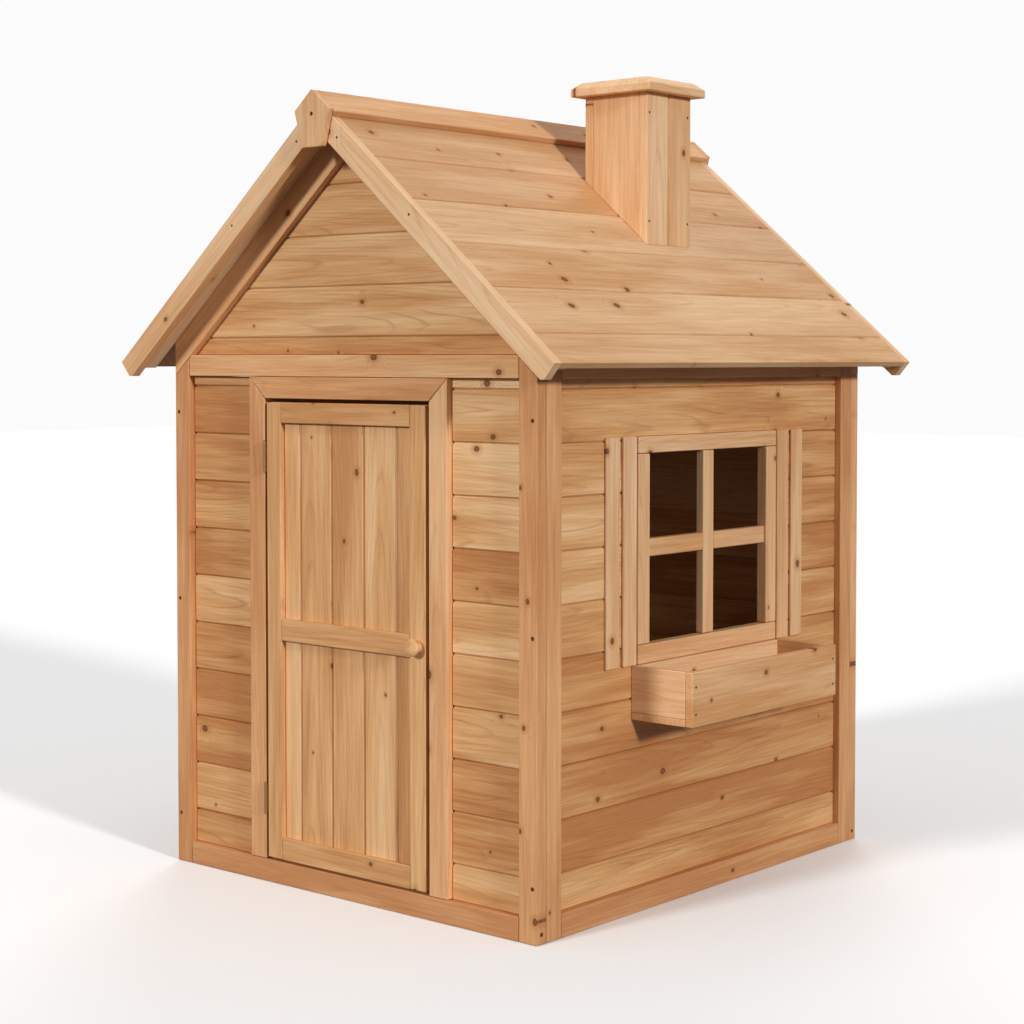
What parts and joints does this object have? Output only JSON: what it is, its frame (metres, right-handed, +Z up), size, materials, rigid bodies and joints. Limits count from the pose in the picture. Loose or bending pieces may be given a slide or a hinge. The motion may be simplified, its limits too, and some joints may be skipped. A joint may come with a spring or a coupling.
{
  "type": "wooden playhouse",
  "caption": "Child's wooden playhouse: framed V-jointed board walls, boarded gable roof with ridge caps and chimney, hinged front door, side window with shutters and flower box.",
  "frame": {"origin": "on the floor, at the middle of the rectangle the four walls stand on", "axes": "+Z up; +X along the gable front, towards the wall with the window; the door's gable front faces -Y, and +Y runs to the back"},
  "size_m": [1.104, 1.138, 1.49],
  "materials": {
    "frame_wood": "planed softwood, satin clear stain",
    "siding_wood": "planed softwood V-jointed boards, satin clear stain",
    "roof_wood": "planed softwood boards, satin clear stain",
    "trim_wood": "planed softwood trim with eased edges, satin clear stain",
    "door_wood": "planed softwood boards, satin clear stain",
    "hinge_steel": "zinc-plated pressed steel",
    "screw_steel": "dark yellow-passivated steel"
  },
  "bodies": {
    "house": {"front_stile_left": "frame_wood", "front_stile_right": "frame_wood", "front_top_rail": "frame_wood", "front_bottom_rail": "frame_wood", "front_rake_trims": "frame_wood", "front_siding": "siding_wood", "front_gable_siding": "siding_wood", "back_stile_left": "frame_wood", "back_stile_right": "frame_wood", "back_top_rail": "frame_wood", "back_bottom_rail": "frame_wood", "back_rake_trims": "frame_wood", "back_siding": "siding_wood", "back_gable_siding": "siding_wood", "left_wall_stiles": "frame_wood", "left_wall_rails": "frame_wood", "left_wall_siding": "siding_wood", "right_wall_stiles": "frame_wood", "right_wall_rails": "frame_wood", "right_wall_siding": "siding_wood", "right_wall_notched_boards": "siding_wood", "door_casing_jambs": "frame_wood", "door_casing_head": "frame_wood", "door_stop": "frame_wood", "window_frame_stiles": "trim_wood", "window_frame_head": "trim_wood", "window_frame_sill": "trim_wood", "window_mullion": "trim_wood", "window_transom": "trim_wood", "shutter_left": "trim_wood", "shutter_right": "trim_wood", "flower_box_front": "trim_wood", "flower_box_ends": "trim_wood", "flower_box_bottom": "trim_wood", "flower_box_back": "trim_wood", "bargeboards_front": "trim_wood", "bargeboards_back": "trim_wood", "ridge_cap_left": "trim_wood", "ridge_cap_right": "trim_wood", "finial_front": "trim_wood", "finial_back": "trim_wood", "chimney_side_boards": "trim_wood", "chimney_front_board": "trim_wood", "chimney_back_board": "trim_wood", "chimney_cap": "trim_wood", "roof_boards_left": "roof_wood", "roof_boards_right": "roof_wood", "roof_battens": "roof_wood", "hinge_frame_leaves": "hinge_steel", "hinge_pins": "hinge_steel", "house_screws": "screw_steel"},
    "door": {"door_boards": "door_wood", "door_stile_hinge_side": "door_wood", "door_stile_latch_side": "door_wood", "door_top_rail": "door_wood", "door_middle_rail": "door_wood", "door_bottom_rail": "door_wood", "door_knob": "door_wood", "hinge_door_leaves": "hinge_steel", "door_screws": "screw_steel"}
  },
  "joints": [
    {"name": "door_hinge", "type": "hinge", "parent": "house", "child": "door", "pos_m": [-0.19775, -0.5035, 0.466], "axis": [0, 0, -1], "range_deg": [0, 170]}
  ]
}
